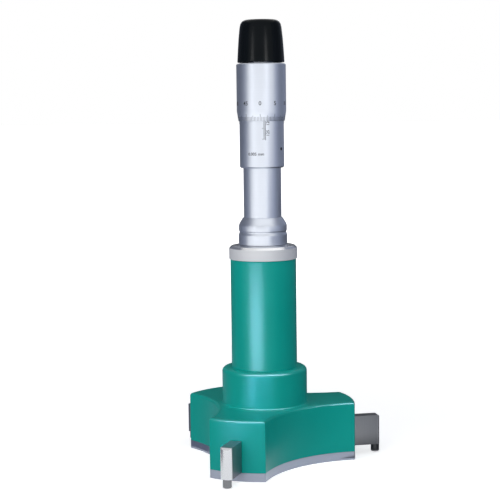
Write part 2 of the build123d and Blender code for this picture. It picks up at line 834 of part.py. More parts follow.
# Ratchet screw: its shoulder stands on the stub, and its head keeps the cap on
with BuildPart() as ratchet_screw:
    turn(
        (0, stub_top - ratchet_screw_engagement),
        (ratchet_screw_thread, stub_top - ratchet_screw_engagement),
        (ratchet_screw_thread, stub_top + contact_gap),
        (screw_shoulder_radius, stub_top + contact_gap),
        (screw_shoulder_radius, cap_web_top + slide_fit),
        (ratchet_head_radius, cap_web_top + slide_fit),
        (ratchet_head_radius, cap_web_top + slide_fit + ratchet_head_height),
        (0, cap_web_top + slide_fit + ratchet_head_height),
    )
    with BuildSketch(Plane.XY.offset(cap_web_top + slide_fit + ratchet_head_height)):
        RegularPolygon(ratchet_socket_width / 2, 6, major_radius=False)
    extrude(amount=-ratchet_socket_depth, mode=Mode.SUBTRACT)
ratchet_screw.part.label = "ratchet_screw"
export_step(ratchet_screw.part, "parts/ratchet_screw.step")

# Ratchet cap: black knob, flared at its foot and rounded over at its top
with BuildPart() as ratchet_cap:
    with BuildSketch(Plane.XZ):
        with BuildLine():
            crown = (cap_crown_radius, cap_bottom + cap_crown_height)
            Polyline(
                (cap_top_radius, cap_top),
                (0, cap_top),
                (0, cap_bottom),
                (cap_base_radius, cap_bottom),
                (cap_flare_radius, cap_bottom + cap_flare_height),
                (cap_waist_radius, cap_bottom + cap_waist_height),
                crown,
            )
            RadiusArc(crown, (cap_top_radius, cap_top), -(cap_height - cap_crown_height))
        make_face()
    revolve(axis=Axis.Z)
    ring(cap_cavity_radius, 0, cap_bottom, cap_web_bottom, mode=Mode.SUBTRACT)
    ring(screw_shoulder_radius + slide_fit, 0, cap_web_bottom, cap_web_top, mode=Mode.SUBTRACT)
    ring(cap_recess_radius, 0, cap_web_top, cap_top, mode=Mode.SUBTRACT)
    with BuildSketch(Plane.XY.offset(clutch_bottom)):
        with PolarLocations((cap_cavity_radius + key_radius) / 2, key_count):
            Rectangle(key_radius - cap_cavity_radius + stub_radius / 2, key_width + 2 * slide_fit)
        Circle(key_radius + slide_fit, mode=Mode.INTERSECT)
    extrude(amount=cap_web_bottom - clutch_bottom, mode=Mode.SUBTRACT)
ratchet_cap.part.label = "ratchet_cap"
export_step(ratchet_cap.part, "parts/ratchet_cap.step")
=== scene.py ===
import json
from math import cos, pi, radians, sin

import bpy
from bpy.props import FloatProperty, FloatVectorProperty, IntProperty, PointerProperty
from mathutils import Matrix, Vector

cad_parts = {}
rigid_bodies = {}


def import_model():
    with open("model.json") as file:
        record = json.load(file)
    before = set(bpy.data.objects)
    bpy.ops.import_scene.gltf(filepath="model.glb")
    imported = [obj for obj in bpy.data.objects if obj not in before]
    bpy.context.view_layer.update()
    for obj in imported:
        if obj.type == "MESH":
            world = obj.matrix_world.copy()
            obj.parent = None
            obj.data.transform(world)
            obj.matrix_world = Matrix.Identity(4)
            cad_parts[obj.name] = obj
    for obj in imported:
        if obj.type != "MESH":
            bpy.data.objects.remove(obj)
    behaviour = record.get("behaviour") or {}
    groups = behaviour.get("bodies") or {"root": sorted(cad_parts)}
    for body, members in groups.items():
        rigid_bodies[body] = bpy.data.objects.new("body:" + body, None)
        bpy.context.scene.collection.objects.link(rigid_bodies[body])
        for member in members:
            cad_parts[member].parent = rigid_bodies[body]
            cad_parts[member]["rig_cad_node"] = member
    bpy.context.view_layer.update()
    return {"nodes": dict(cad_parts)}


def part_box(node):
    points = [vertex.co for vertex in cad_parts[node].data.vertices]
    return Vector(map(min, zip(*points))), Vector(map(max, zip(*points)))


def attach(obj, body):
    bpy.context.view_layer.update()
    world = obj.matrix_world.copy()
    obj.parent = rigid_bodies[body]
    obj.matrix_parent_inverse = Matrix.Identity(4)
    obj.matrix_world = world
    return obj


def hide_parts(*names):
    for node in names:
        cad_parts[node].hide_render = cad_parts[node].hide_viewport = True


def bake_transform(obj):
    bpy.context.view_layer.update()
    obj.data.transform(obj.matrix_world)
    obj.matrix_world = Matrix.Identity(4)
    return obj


bl_info = {
    "name": "Three-point micrometer",
    "version": (1, 0, 0),
    "blender": (4, 5, 0),
    "location": "3D View > Sidebar > Micrometer",
    "description": "Turned pieces, dial marks, finishes and studio for a three-point internal micrometer",
    "category": "Object",
}

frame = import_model()

MM = 0.001

# Outlines of the turned pieces, as (radius, height) in millimetres, closed from the last point to the first
OUTLINES = {
    "grip_tube": [
        (13.002, 41.3), (15.602, 41.3), (15.602, 46.2), (16.002, 46.2), (16.002, 99.2),
        (15.702, 99.5), (13.302, 99.5), (13.002, 99.2),
    ],
    "tube_collar": [
        (8.05, 88.0), (12.952, 88.0), (12.952, 99.5), (16.602, 99.5), (16.602, 104.7),
        (15.402, 105.9), (12.0, 106.4), (10.12, 106.4), (10.12, 114.0), (8.05, 114.0),
    ],
    "clamp_nut": [
        (10.14, 106.5), (11.8, 106.5), (11.8, 111.2), (11.35, 112.3), (11.35, 112.9),
        (11.68, 113.2), (11.68, 115.5), (11.44, 116.35), (11.03, 117.2), (10.48, 118.1), (9.55, 119.5),
        (9.2, 119.5), (9.2, 116.02), (10.14, 116.02),
    ],
    "scale_sleeve": [
        (8.92, 143.5), (10.15, 143.5), (10.75, 144.1), (10.75, 183.1), (10.1, 183.1),
        (10.1, 175.0), (8.92, 175.0),
    ],
    "thimble": [
        (10.85, 165.95), (11.1, 165.95), (11.9, 170.75), (11.9, 192.9), (11.4, 193.4),
        (6.0, 193.4), (6.0, 196.98), (3.32, 196.98), (4.02, 191.9), (10.85, 191.9),
    ],
    "ratchet_cap": [
        (8.6, 193.9), (11.35, 193.9), (11.0, 199.9), (10.6, 205.4), (10.1, 210.3),
        (9.75, 212.05), (9.0, 213.3), (7.6, 214.1), (5.0, 214.1), (5.0, 209.02),
        (2.25, 209.02), (2.25, 207.02), (8.6, 207.02),
    ],
}
OUTLINE_TOLERANCE = 0.05 * MM
MERGE_DISTANCE = 0.001 * MM

# Height at which the collar's blasted band turns into its bright cone
BRIGHT_CONE = (104.65 * MM, 104.85 * MM)
# Distance from the axis at which a blade's nose begins: polished round by lapping, and painted light grey as a painted
# highlight
LAPPED_NOSE_AND_HIGHLIGHT = (56.9 * MM, 57.2 * MM)

# Spanner hole in the sleeve. Its place is a radius and a height
HOLE_ANGLE = radians(-12.5)
HOLE_RADIUS = 0.8 * MM
HOLE_DEPTH = 4 * MM
HOLE_PLACE = (10.9 * MM, 152.6 * MM)

# Length scale on the sleeve, in millimetres: its lowest line is the largest bore
LARGEST_BORE = 125
TRAVEL = 25
PITCH = 0.5
NUMBERED_STEP = 5
SCALE_FOOT = 157.45
INDEX_FOOT = -0.6
SHORT_LINE = 1.1
LONG_LINE = 1.7
NUMBER_PLACE = (1.2, 2.8)
NUMBER_HEIGHT = 1.4
SLEEVE_RADIUS = 10.75
VALUE_ANGLE = radians(-87.5)
VALUE_HEIGHT = 150.25

# Dial on the thimble, whose bevel rises six times as fast as it widens
THIMBLE_RADIUS = 11.9 * MM
THIMBLE_RIM = 11.1 * MM
THIMBLE_FOOT = 165.95 * MM
BEVEL_TOP = 170.75 * MM
BEVEL_SLOPE = 6
DIAL_FOOT = 166.0 * MM
DIAL_NUMBERS = 10
DIAL_NUMBER_STEP = 5
DIAL_NUMBER_HEIGHT = 174.25 * MM
# Rows of graduations: how many, and how long
DIAL_ROWS = ((100, 2.0 * MM), (20, 2.6 * MM), (DIAL_NUMBERS, 3.3 * MM))

# Ratchet: the keyways in the cap, and how far the wheel's teeth are relieved at their ends
KEYWAYS = 3
KEYWAY_SIZE = (4 * MM, 2.5 * MM, 7 * MM)
KEYWAY_RADIUS = 7.35 * MM
KEYWAY_HEIGHT = 203.52 * MM
TEETH_FOOT = 200.005 * MM
TEETH_INNER, TEETH_OUTER = 4.55 * MM, 7.15 * MM

# Sides of the head where the anvils, their pins and their springs stand, with their angles in degrees
ANVIL_ANGLES = {"front": -90, "right": 30, "left": 150}

# Studio: how far the cards stand from the axis, and their bluish grey
CARD_RADIUS = 0.33
CARD_TINT = (0.85, 0.95, 1.25)


class MicrometerModelling(bpy.types.PropertyGroup):
    segments: IntProperty(name="Segments", description="Faces round a turned piece", default=192, min=48)
    turned_rounding: FloatProperty(
        name="Turned edges", description="Rounding of the edges of turned metal", default=0.00012, unit="LENGTH"
    )
    cap_rounding: FloatProperty(
        name="Cap edges", description="Rounding of the edges of the moulded cap", default=0.00045, unit="LENGTH"
    )
    painted_rounding: FloatProperty(
        name="Painted edges", description="Rounding of the painted tube's edges", default=0.0002, unit="LENGTH"
    )
    ground_rounding: FloatProperty(
        name="Ground edges", description="Broken edges of the ground plate and blades", default=0.00015, unit="LENGTH"
    )


class MicrometerFinishes(bpy.types.PropertyGroup):
    enamel: FloatVectorProperty(
        name="Enamel", description="Green paint of the head and tube", subtype="COLOR", default=(0.0005, 0.325, 0.27)
    )
    enamel_roughness: FloatProperty(
        name="Enamel roughness", description="Gloss of the paint", subtype="FACTOR", default=0.3, min=0.0, max=1.0
    )
    chrome: FloatVectorProperty(
        name="Satin chrome", description="Turned and plated steel", subtype="COLOR", default=(0.6, 0.635, 0.7)
    )
    chrome_roughness: FloatProperty(
        name="Chrome roughness", description="Gloss of the satin chrome", subtype="FACTOR", default=0.36, min=0.0,
        max=1.0,
    )
    ground_steel: FloatVectorProperty(
        name="Ground steel", description="Bare plate and blades", subtype="COLOR", default=(0.30, 0.32, 0.39)
    )
    plastic: FloatVectorProperty(
        name="Black plastic", description="Moulded ratchet cap", subtype="COLOR", default=(0.002, 0.003, 0.004)
    )
    ink: FloatVectorProperty(
        name="Ink", description="Filling of the scale's marks", subtype="COLOR", default=(0.012, 0.013, 0.015)
    )


class MicrometerMarks(bpy.types.PropertyGroup):
    index_angle: FloatProperty(
        name="Index angle", description="Where the index line stands round the sleeve", subtype="ANGLE",
        default=radians(-62),
    )
    zero_angle: FloatProperty(
        name="Zero angle", description="Where the thimble's zero stands", subtype="ANGLE", default=radians(-75),
    )
    line_width: FloatProperty(
        name="Line width", description="Width of a graduation", default=0.00018, unit="LENGTH"
    )
    proud: FloatProperty(
        name="Ink height", description="How far the ink stands on the metal", default=0.00002, unit="LENGTH"
    )
    slice: FloatProperty(
        name="Slice width", description="Width of the flat slices that a mark is bent in", default=0.0004,
        unit="LENGTH",
    )
    numeral: FloatProperty(
        name="Dial numerals", description="Height of the thimble's numbers", default=0.0019, unit="LENGTH"
    )


class MicrometerStudio(bpy.types.PropertyGroup):
    floor: FloatVectorProperty(
        name="Floor", description="Plain pale floor", subtype="COLOR", default=(0.8, 0.8, 0.8)
    )
    floor_lift: FloatProperty(
        name="Floor lift", description="How far the near floor is whitened", subtype="FACTOR", default=0.62,
        min=0.0, max=1.0,
    )
    surround: FloatProperty(name="Surround", description="Light level of the white room", default=0.62)
    view_angle: FloatProperty(
        name="View angle", description="Side that faces the camera", subtype="ANGLE", default=radians(-71.3)
    )
    key: FloatProperty(name="Key light", description="Level of the large soft light at the camera", default=1.42)
    tube_light: FloatProperty(name="Tube light", description="Level of the tube's highlight", default=27.0)
    hub_light: FloatProperty(name="Hub light", description="Level of the hub's highlight", default=16.875)
    arm_light: FloatProperty(name="Arm light", description="Level of the front arm's highlight", default=50.0)
    edge_light: FloatProperty(name="Edge light", description="Level of the light for painted edges", default=80.0)
    shoulder_light: FloatProperty(
        name="Shoulder light", description="Level of the light over the nut and collar", default=0.35
    )
    dial_light: FloatProperty(name="Dial lights", description="Level of the two upright lights", default=3.0)
    cap_light: FloatProperty(
        name="Cap lights", description="Level that the black cap alone gets from their place", default=55.0
    )
    cards: FloatProperty(name="Cards", description="Factor on the level of the cards at the sides", default=1.0)


def sizes():
    return bpy.context.scene.micrometer_modelling


def colours():
    return bpy.context.scene.micrometer_finishes


def marks():
    return bpy.context.scene.micrometer_marks


def studio():
    return bpy.context.scene.micrometer_studio


class Value:
    """A socket in a node tree. Sums, differences and products of it add the Math nodes that they need."""

    def __init__(self, graph, socket):
        self.graph = graph
        self.socket = socket

    def math(self, operation, *terms):
        return self.graph.node("ShaderNodeMath", {"operation": operation}, terms)

    def __add__(self, other):
        return self.math("ADD", self, other)

    def __sub__(self, other):
        return self.math("SUBTRACT", self, other)

    def __mul__(self, other):
        return self.math("MULTIPLY", self, other)

    def __rsub__(self, other):
        return self.math("SUBTRACT", other, self)

    __radd__ = __add__
    __rmul__ = __mul__


class Graph:
    """A node tree that nodes are added to."""

    def __init__(self, tree):
        self.tree = tree

    def node(self, kind, settings=None, values=(), output=0):
        """Add a node: its settings come first, and then the values or links of its sockets."""
        made = self.tree.nodes.new(kind)
        for key, setting in (settings or {}).items():
            setattr(made, key, setting)
        for key, value in values.items() if isinstance(values, dict) else enumerate(values):
            self.set(made.inputs[key], value)
        return Value(self, made.outputs[output])

    def set(self, socket, value):
        if isinstance(value, Value):
            self.tree.links.new(value.socket, socket)
        else:
            socket.default_value = value

    def seen(self):
        """1 where the camera, a mirror or a glass looks, and 0 for the light on the object."""
        camera, mirror, glass = [
            self.node("ShaderNodeLightPath", output=f"Is {kind} Ray") for kind in ("Camera", "Glossy", "Transmission")
        ]
        return camera + mirror + glass


class Finish(Graph):
    """A material made of nodes, with a Principled shader at its end."""

    def __init__(self, name, roughness, metallic=0.0):
        self.material = bpy.data.materials.new(name)
        self.material.use_nodes = True
        super().__init__(self.material.node_tree)
        self.shader = self.tree.nodes["Principled BSDF"]
        self.wear(Metallic=metallic, Roughness=roughness)
        self.place = self.node("ShaderNodeTexCoord", output="Object")

    def wear(self, **values):
        """Set or link the Principled shader's sockets."""
        for key, value in values.items():
            self.set(self.shader.inputs[key.replace("_", " ")], value)

    def stretched(self, x, y, z):
        """Object coordinates, in patterns per metre along each axis."""
        return self.node("ShaderNodeMapping", values={"Vector": self.place, "Scale": (x, y, z)})

    def noise(self, place, scale, detail):
        return self.node("ShaderNodeTexNoise", values={"Vector": place, "Scale": scale, "Detail": detail})

    def band(self, measure, low, high):
        """0 where a measure is below low, 1 where it is above high."""
        return self.node("ShaderNodeMapRange", values={"Value": measure, "From Min": low, "From Max": high})

    def blend(self, factor, low, high):
        """A colour between two others, each a colour or the output of a node."""
        low, high = [colour if isinstance(colour, Value) else (*colour, 1.0) for colour in (low, high)]
        return self.node("ShaderNodeMix", {"data_type": "RGBA"}, {0: factor, 6: low, 7: high}, output=2)

    def bump(self, height, distance):
        self.wear(Normal=self.node("ShaderNodeBump", values={"Strength": 1.0, "Distance": distance, "Height": height}))


def shade(colour, factor):
    """A colour made darker or lighter."""
    return tuple(min(1.0, part * factor) for part in colour)


def green_enamel():
    """Stoved paint: a slight orange peel, and cloudy gloss."""
    enamel, roughness = colours().enamel, colours().enamel_roughness
    paint = Finish("green_enamel", roughness)
    clouds = paint.noise(paint.place, 60, 3)
    peel = paint.noise(paint.place, 900, 1)
    paint.wear(
        Base_Color=paint.blend(clouds, shade(enamel, 0.93), shade(enamel, 1.07)),
        Roughness=clouds * 0.08 + (roughness - 0.04),
        Specular_IOR_Level=0.2,
        Specular_Tint=(0.52, 0.7, 1.0, 1.0),
    )
    paint.bump(peel, 0.02 * MM)
    return paint.material


def turned_metal(name, colour, roughness, lines=9000):
    """Metal from the lathe: fine lines round the axis, cloudy where hands have polished it."""
    metal = Finish(name, roughness, metallic=1.0)
    clouds = metal.noise(metal.place, 120, 3)
    turning = metal.noise(metal.stretched(40, 40, lines), 1, 2)
    metal.wear(
        Base_Color=metal.blend(turning, shade(colour, 0.95), shade(colour, 1.05)),
        Roughness=turning * 0.08 + clouds * 0.06 + (roughness - 0.07),
    )
    metal.bump(turning, 0.003 * MM)
    return metal.material


def collar_metal():
    """Collar with a blasted band, and a coned top that is turned bright."""
    metal = Finish("collar_metal", 0.55)
    turning = metal.noise(metal.stretched(40, 40, 4000), 1, 2)
    height = metal.node("ShaderNodeSeparateXYZ", values=(metal.place,), output="Z")
    bright = metal.band(height, *BRIGHT_CONE)
    metal.wear(
        Base_Color=metal.blend(bright, (0.65, 0.66, 0.685), (0.72, 0.73, 0.75)),
        Metallic=0.2 + bright * 0.75,
        Roughness=turning * 0.08 + (0.51 - bright * 0.31),
    )
    metal.bump(turning, 0.003 * MM)
    return metal.material


def ground_metal(name, colour, roughness, grain=(60, 7000, 7000)):
    """Ground or drawn metal: a fine grain, stretched along one axis unless all three are the same."""
    metal = Finish(name, roughness, metallic=1.0)
    clouds = metal.noise(metal.place, 150, 3)
    grinding = metal.noise(metal.stretched(*grain), 1, 2)
    metal.wear(
        Base_Color=metal.blend(grinding, shade(colour, 0.94), shade(colour, 1.06)),
        Roughness=grinding * 0.1 + clouds * 0.06 + (roughness - 0.08),
    )
    metal.bump(grinding, 0.003 * MM)
    return metal.material


def ground_blade():
    """Hardened blade: its ground sides are painted dark grey as painted shade, and its nose, polished round by lapping
    and smoother, is painted light grey as a painted highlight.
    """
    blade = Finish("ground_blade", 0.24, metallic=1.0)
    grinding = blade.noise(blade.stretched(4000, 4000, 60), 1, 2)
    plan = blade.node("ShaderNodeVectorMath", {"operation": "MULTIPLY"}, (blade.place, (1.0, 1.0, 0.0)))
    reach = blade.node("ShaderNodeVectorMath", {"operation": "LENGTH"}, (plan,), output="Value")
    lapped_and_highlight = blade.band(reach, *LAPPED_NOSE_AND_HIGHLIGHT)
    # Painted shade on the ground sides, a darker grey than the nose's painted highlight
    sides = blade.blend(grinding, (0.24, 0.245, 0.26), (0.28, 0.285, 0.3))
    blade.wear(
        Base_Color=blade.blend(lapped_and_highlight, sides, (0.6, 0.61, 0.63)),
        Roughness=grinding * 0.1 + (0.32 - lapped_and_highlight * 0.12),
    )
    blade.bump(grinding, 0.002 * MM)
    return blade.material


def cap_plastic():
    """Moulded plastic: near black, with the faint grain of its mould."""
    plastic = Finish("cap_plastic", 0.2)
    grain = plastic.noise(plastic.place, 3500, 2)
    clouds = plastic.noise(plastic.place, 90, 2)
    plastic.wear(
        Base_Color=plastic.blend(clouds, shade(colours().plastic, 0.8), shade(colours().plastic, 1.3)),
        Roughness=clouds * 0.08 + 0.16,
        Specular_IOR_Level=0.07,
    )
    plastic.bump(grain, 0.006 * MM)
    return plastic.material


def black_oxide_and_hole_shade():
    """Oiled black steel of the screws, also put on the walls of the sleeve's spanner hole as painted shade."""
    oxide = Finish("black_oxide_and_hole_shade", 0.42, metallic=0.8)
    clouds = oxide.noise(oxide.place, 700, 4)
    oxide.wear(
        Base_Color=oxide.blend(clouds, (0.02, 0.021, 0.024), (0.06, 0.061, 0.066)),
        Roughness=clouds * 0.2 + 0.32,
    )
    oxide.bump(clouds, 0.008 * MM)
    return oxide.material


def dial_ink():
    """Matt ink of the marks, thinner here and there."""
    ink = Finish("dial_ink", 0.6)
    thin = ink.noise(ink.place, 2600, 3)
    ink.wear(
        Base_Color=ink.blend(thin, colours().ink, shade(colours().ink, 2.6)),
        Roughness=thin * 0.2 + 0.5,
    )
    return ink.material


def finish(name):
    """Return a finish by name. It is made the first time that it is asked for."""
    made = bpy.data.materials.get(name)
    if made is None:
        made = {
            "green_enamel": green_enamel,
            "satin_chrome": lambda: turned_metal("satin_chrome", colours().chrome, colours().chrome_roughness),
            "collar_metal": collar_metal,
            "ground_plate": lambda: ground_metal("ground_plate", colours().ground_steel, 0.34),
            "ground_blade": ground_blade,
            "hard_metal": lambda: turned_metal("hard_metal", (0.2, 0.205, 0.215), 0.3, 12000),
            "hardened_steel": lambda: turned_metal("hardened_steel", (0.5, 0.5, 0.52), 0.22, 6000),
            "bush_bronze": lambda: turned_metal("bush_bronze", (0.5, 0.33, 0.14), 0.32, 5000),
            "spring_wire": lambda: ground_metal("spring_wire", (0.42, 0.42, 0.44), 0.3, (900, 900, 900)),
            "cap_plastic": cap_plastic,
            "black_oxide_and_hole_shade": black_oxide_and_hole_shade,
            "dial_ink": dial_ink,
        }[name]()
    return made


def deselect():
    bpy.ops.object.select_all(action="DESELECT")
    bpy.context.view_layer.objects.active = None


def select(*pieces):
    """Select these pieces alone. The first is the active one."""
    deselect()
    for piece in pieces:
        piece.select_set(True)
    bpy.context.view_layer.objects.active = pieces[0]


def apply(piece, kind, **settings):
    """Add a modifier to a piece and apply it."""
    select(piece)
    modifier = piece.modifiers.new(kind.title(), kind)
    for key, setting in settings.items():
        setattr(modifier, key, setting)
    bpy.ops.object.modifier_apply(modifier=modifier.name)


def smooth(piece):
    """Shade a piece smooth between its edges."""
    select(piece)
    bpy.ops.object.shade_smooth_by_angle(angle=radians(32))
    apply(piece, "WEIGHTED_NORMAL", keep_sharp=True)


def round_edges(piece, width, angle=radians(20)):
    """Round the edges that turn by more than an angle."""
    apply(
        piece, "BEVEL", width=width, segments=3, limit_method="ANGLE", angle_limit=angle,
        use_clamp_overlap=True, miter_outer="MITER_ARC",
    )


def dress(piece, body, material, node=None):
    """Give a piece its finish, the body that it moves with and the CAD node that it stands for."""
    piece.data.materials.clear()
    piece.data.materials.append(finish(material))
    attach(piece, body)
    if node:
        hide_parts(node)


def sprung(node):
    """Copy a spring with its wire finish, in place of its CAD node, which is hidden."""
    piece = merged_copy(node, f"{node}_wound")
    piece.data.materials.clear()
    piece.data.materials.append(finish("spring_wire"))
    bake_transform(piece)
    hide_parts(node)


def refinish(material, *nodes):
    """Put a finish on CAD nodes that keep their shape."""
    for name in nodes:
        node = frame["nodes"][name]
        if not node.material_slots:
            raise RuntimeError(f"{name} has no material slot")
        for slot in node.material_slots:
            slot.link = "OBJECT"
            slot.material = finish(material)


def turned(name, outline):
    """Turn a closed outline round the main axis, ring by ring."""
    deselect()
    radius, height = outline[0]
    bpy.ops.mesh.primitive_circle_add(
        vertices=sizes().segments, radius=radius * MM, fill_type="NOTHING", location=(0, 0, height * MM)
    )
    piece = bpy.context.object
    piece.name = name
    bpy.ops.object.mode_set(mode="EDIT")
    bpy.ops.mesh.select_all(action="SELECT")
    for next_radius, next_height in [*outline[1:], outline[0]]:
        rise = (next_height - height) * MM
        bpy.ops.mesh.extrude_edges_move(TRANSFORM_OT_translate={"value": (0, 0, rise)})
        grow = next_radius / radius
        bpy.ops.transform.resize(value=(grow, grow, 1), center_override=(0, 0, next_height * MM))
        radius, height = next_radius, next_height
    bpy.ops.mesh.select_all(action="SELECT")
    bpy.ops.mesh.remove_doubles(threshold=MERGE_DISTANCE)
    bpy.ops.mesh.normals_make_consistent(inside=False)
    bpy.ops.object.mode_set(mode="OBJECT")
    bpy.ops.object.transform_apply(location=True, rotation=True, scale=True)
    return piece


def turned_piece(node, body, material, rounding):
    """Turn the piece that stands for a CAD node, and check its size against the node's."""
    piece = turned(f"{node}_turned", OUTLINES[node])
    low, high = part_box(node)
    radius = max(point[0] for point in OUTLINES[node]) * MM
    heights = [point[1] * MM for point in OUTLINES[node]]
    if max(abs(high.x - radius), abs(low.z - min(heights)), abs(high.z - max(heights))) > OUTLINE_TOLERANCE:
        raise RuntimeError(f"the outline of {node} doesn't fit its CAD node")
    round_edges(piece, rounding)
    smooth(piece)
    dress(piece, body, material, node)
    return piece


def cut(piece, cutter, material):
    """Cut a piece with another, whose faces leave their finish in the cut."""
    cutter.data.materials.append(finish(material))
    apply(piece, "BOOLEAN", operation="DIFFERENCE", object=cutter, solver="EXACT", material_mode="TRANSFER")
    bpy.data.objects.remove(cutter)


def merged_copy(node, name, rounding=0.0):
    """A copy of a CAD node with its points joined, shaded smooth, and with its edges broken where a rounding is given.
    """
    piece = frame["nodes"][node].copy()
    piece.data = piece.data.copy()
    piece.parent = None
    piece.name = name
    del piece["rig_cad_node"]
    bpy.context.scene.collection.objects.link(piece)
    select(piece)
    bpy.ops.object.mode_set(mode="EDIT")
    bpy.ops.mesh.select_all(action="SELECT")
    bpy.ops.mesh.remove_doubles(threshold=MERGE_DISTANCE)
    if rounding:
        bpy.ops.mesh.dissolve_limited(angle_limit=radians(0.3))
    bpy.ops.object.mode_set(mode="OBJECT")
    bpy.ops.mesh.customdata_custom_splitnormals_clear()
    if rounding:
        round_edges(piece, rounding, radians(30))
    smooth(piece)
    return piece


def flat_strip(width, length, cuts):
    """A thin flat bar of ink that starts at the origin and runs along x, with y across it."""
    deselect()
    bpy.ops.mesh.primitive_plane_add(size=1)
    strip = bpy.context.object
    bpy.ops.object.mode_set(mode="EDIT")
    bpy.ops.mesh.select_all(action="SELECT")
    bpy.ops.transform.resize(value=(length, width, 1), center_override=(0, 0, 0))
    bpy.ops.transform.translate(value=(length / 2, 0, -marks().proud))
    bpy.ops.mesh.subdivide(number_cuts=cuts)
    bpy.ops.mesh.extrude_region_move(TRANSFORM_OT_translate={"value": (0, 0, 2 * marks().proud)})
    bpy.ops.mesh.select_all(action="SELECT")
    bpy.ops.mesh.normals_make_consistent(inside=False)
    bpy.ops.object.mode_set(mode="OBJECT")
    return strip


def repeat(piece, count, step):
    """Copy a flat piece along a row."""
    apply(
        piece, "ARRAY", count=count, use_relative_offset=False, use_constant_offset=True,
        constant_offset_displace=step,
    )


def turn_flat(piece, angle, offset=(0, 0, 0)):
    """Turn a flat piece in its plane, then move it."""
    select(piece)
    bpy.ops.object.mode_set(mode="EDIT")
    bpy.ops.mesh.select_all(action="SELECT")
    bpy.ops.transform.rotate(value=-angle, orient_axis="Z", center_override=(0, 0, 0))
    bpy.ops.transform.translate(value=offset)
    bpy.ops.object.mode_set(mode="OBJECT")


def flat_text(words, height):
    """Plain text as a thin flat mesh, centred on the origin. A capital is 0.7 of the font's size."""
    deselect()
    bpy.ops.object.text_add()
    text = bpy.context.object
    text.data.body = words
    text.data.size = height / 0.7
    text.data.align_x = "CENTER"
    text.data.align_y = "CENTER"
    text.data.extrude = marks().proud
    text.data.offset = 0.03 * MM
    text.data.resolution_u = 4
    bpy.ops.object.convert(target="MESH")
    return bpy.context.object


def join(name, pieces):
    select(*pieces)
    bpy.ops.object.join()
    joined = bpy.context.object
    joined.name = name
    return joined


def wrap(piece, angle, height, radius_at):
    """Slice a flat piece finely and lay it round the main axis: x goes round it, y up it, and z out of it."""
    reach = [point.co.x for point in piece.data.vertices]
    low, high = min(reach), max(reach)
    select(piece)
    bpy.ops.object.mode_set(mode="EDIT")
    for step in range(1, int((high - low) / marks().slice) + 1):
        bpy.ops.mesh.select_all(action="SELECT")
        bpy.ops.mesh.bisect(plane_co=(low + step * marks().slice, 0, 0), plane_no=(1, 0, 0))
    bpy.ops.object.mode_set(mode="OBJECT")
    for point in piece.data.vertices:
        x, y, z = point.co
        radius = radius_at(height + y)
        turn = angle + x / radius
        point.co = ((radius + z) * cos(turn), (radius + z) * sin(turn), height + y)
    piece.data.update()


class MICROMETER_OT_head(bpy.types.Operator):
    """Paint the head body, on a copy with smooth fillets"""

    bl_idname = "micrometer.head"
    bl_label = "Head body"

    def execute(self, context):
        piece = merged_copy("head_body", "head_casting")
        dress(piece, "head", "green_enamel", "head_body")
        return {"FINISHED"}


class MICROMETER_OT_cover(bpy.types.Operator):
    """Grind the bottom cover, with broken edges, and blacken its screws"""

    bl_idname = "micrometer.cover"
    bl_label = "Bottom cover and screws"

    def execute(self, context):
        piece = merged_copy("bottom_cover", "cover_plate", sizes().ground_rounding)
        dress(piece, "head", "ground_plate", "bottom_cover")
        screws = merged_copy("cover_screws", "cover_screw_set")
        dress(screws, "head", "black_oxide_and_hole_shade", "cover_screws")
        return {"FINISHED"}


class MICROMETER_OT_anvils(bpy.types.Operator):
    """Grind the three anvils and their measuring pins"""

    bl_idname = "micrometer.anvils"
    bl_label = "Anvils and measuring pins"

    def execute(self, context):
        for side in ANVIL_ANGLES:
            body = f"anvil_{side}"
            blade = merged_copy(body, f"blade_{side}", sizes().ground_rounding)
            dress(blade, body, "ground_blade", body)
            pin = merged_copy(f"measuring_pin_{side}", f"contact_pin_{side}")
            dress(pin, body, "hard_metal", f"measuring_pin_{side}")
        return {"FINISHED"}


class MICROMETER_OT_tube(bpy.types.Operator):
    """Turn and paint the grip tube"""

    bl_idname = "micrometer.tube"
    bl_label = "Grip tube"

    def execute(self, context):
        turned_piece("grip_tube", "head", "green_enamel", sizes().painted_rounding)
        return {"FINISHED"}


class MICROMETER_OT_collar(bpy.types.Operator):
    """Turn the tube collar and the clamp nut"""

    bl_idname = "micrometer.collar"
    bl_label = "Tube collar and clamp nut"

    def execute(self, context):
        turned_piece("tube_collar", "head", "collar_metal", sizes().turned_rounding)
        turned_piece("clamp_nut", "head", "satin_chrome", sizes().turned_rounding)
        return {"FINISHED"}


class MICROMETER_OT_barrel(bpy.types.Operator):
    """Finish the barrel, on a copy with smooth turning"""

    bl_idname = "micrometer.barrel"
    bl_label = "Barrel"

    def execute(self, context):
        piece = merged_copy("barrel", "barrel_turned")
        dress(piece, "head", "satin_chrome", "barrel")
        return {"FINISHED"}


